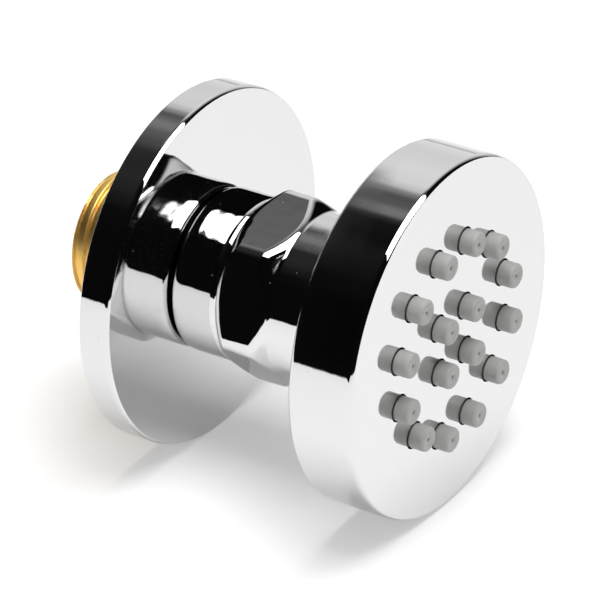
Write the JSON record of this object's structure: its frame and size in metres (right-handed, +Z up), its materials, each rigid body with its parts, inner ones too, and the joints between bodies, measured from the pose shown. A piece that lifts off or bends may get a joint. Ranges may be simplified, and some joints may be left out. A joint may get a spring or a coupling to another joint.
{
  "type": "swivelling shower body jet",
  "caption": "Round wall-mounted shower body jet: spray head on a ball joint, held by a collar nut on a plated neck with a cover plate and a threaded inlet.",
  "frame": {"origin": "on the inlet thread's axis, in the plane of the wall, which is the back face of the escutcheon", "axes": "+Z up, +Y into the wall along the inlet thread, -Y the way the jet sprays"},
  "size_m": [0.0556, 0.0639, 0.0556],
  "materials": {
    "chrome_plate": "bright chrome plating, mirror polished",
    "brass_core": "bright bare brass with turning marks and a cut thread",
    "grey_silicone": "light warm grey silicone, matt",
    "black_rubber": "black seal rubber, matt",
    "white_acetal": "white slippery moulded plastic",
    "grey_moulding": "mid grey moulded plastic",
    "strainer_steel": "stainless wire, satin"
  },
  "bodies": {
    "wall_core": {"inlet_core": "brass_core", "strainer_washer": "black_rubber", "strainer_mesh": "strainer_steel", "flow_regulator": "grey_moulding", "regulator_ring": "black_rubber", "neck_sleeve": "chrome_plate", "seat_spring_ring": "black_rubber"},
    "plate_grip": {"grip_ring": "black_rubber"},
    "cover_plate": {"escutcheon": "chrome_plate"},
    "slip_bearing": {"slip_ring": "white_acetal", "slip_washer": "white_acetal"},
    "collar": {"collar_nut": "chrome_plate"},
    "seat": {"ball_seat": "white_acetal"},
    "ball": {"swivel_ball": "chrome_plate"},
    "spray_head": {"back_cover": "chrome_plate", "cover_ring": "black_rubber", "stem_washer": "black_rubber", "water_plate": "grey_moulding", "nozzle_mat": "grey_silicone", "head_shell": "chrome_plate"}
  },
  "joints": [
    {"name": "escutcheon_slide", "type": "slide", "parent": "wall_core", "child": "plate_grip", "axis": [0, 1, 0], "range_m": [0, 0.01]},
    {"name": "escutcheon_turn", "type": "hinge", "parent": "plate_grip", "child": "cover_plate", "pos_m": [0, 0, 0], "axis": [0, 1, 0], "continuous": true},
    {"name": "nut_travel", "type": "slide", "parent": "wall_core", "child": "slip_bearing", "axis": [0, -1, 0], "range_m": [0, 0.0004]},
    {"name": "nut_turn", "type": "hinge", "parent": "slip_bearing", "child": "collar", "pos_m": [0, -0.017, 0], "axis": [0, -1, 0], "range_deg": [0, 90]},
    {"name": "ball_turn", "type": "hinge", "parent": "wall_core", "child": "seat", "pos_m": [0, -0.024, 0], "axis": [0, 1, 0], "continuous": true},
    {"name": "ball_tilt", "type": "hinge", "parent": "seat", "child": "ball", "pos_m": [0, -0.024, 0], "axis": [1, 0, 0], "range_deg": [-20, 20]},
    {"name": "head_turn", "type": "hinge", "parent": "ball", "child": "spray_head", "pos_m": [0, -0.024, 0], "axis": [0, 1, 0], "continuous": true}
  ],
  "couplings": [
    {"joint": "nut_travel", "follows": "nut_turn", "m_per_rad": 0.00023873}
  ]
}
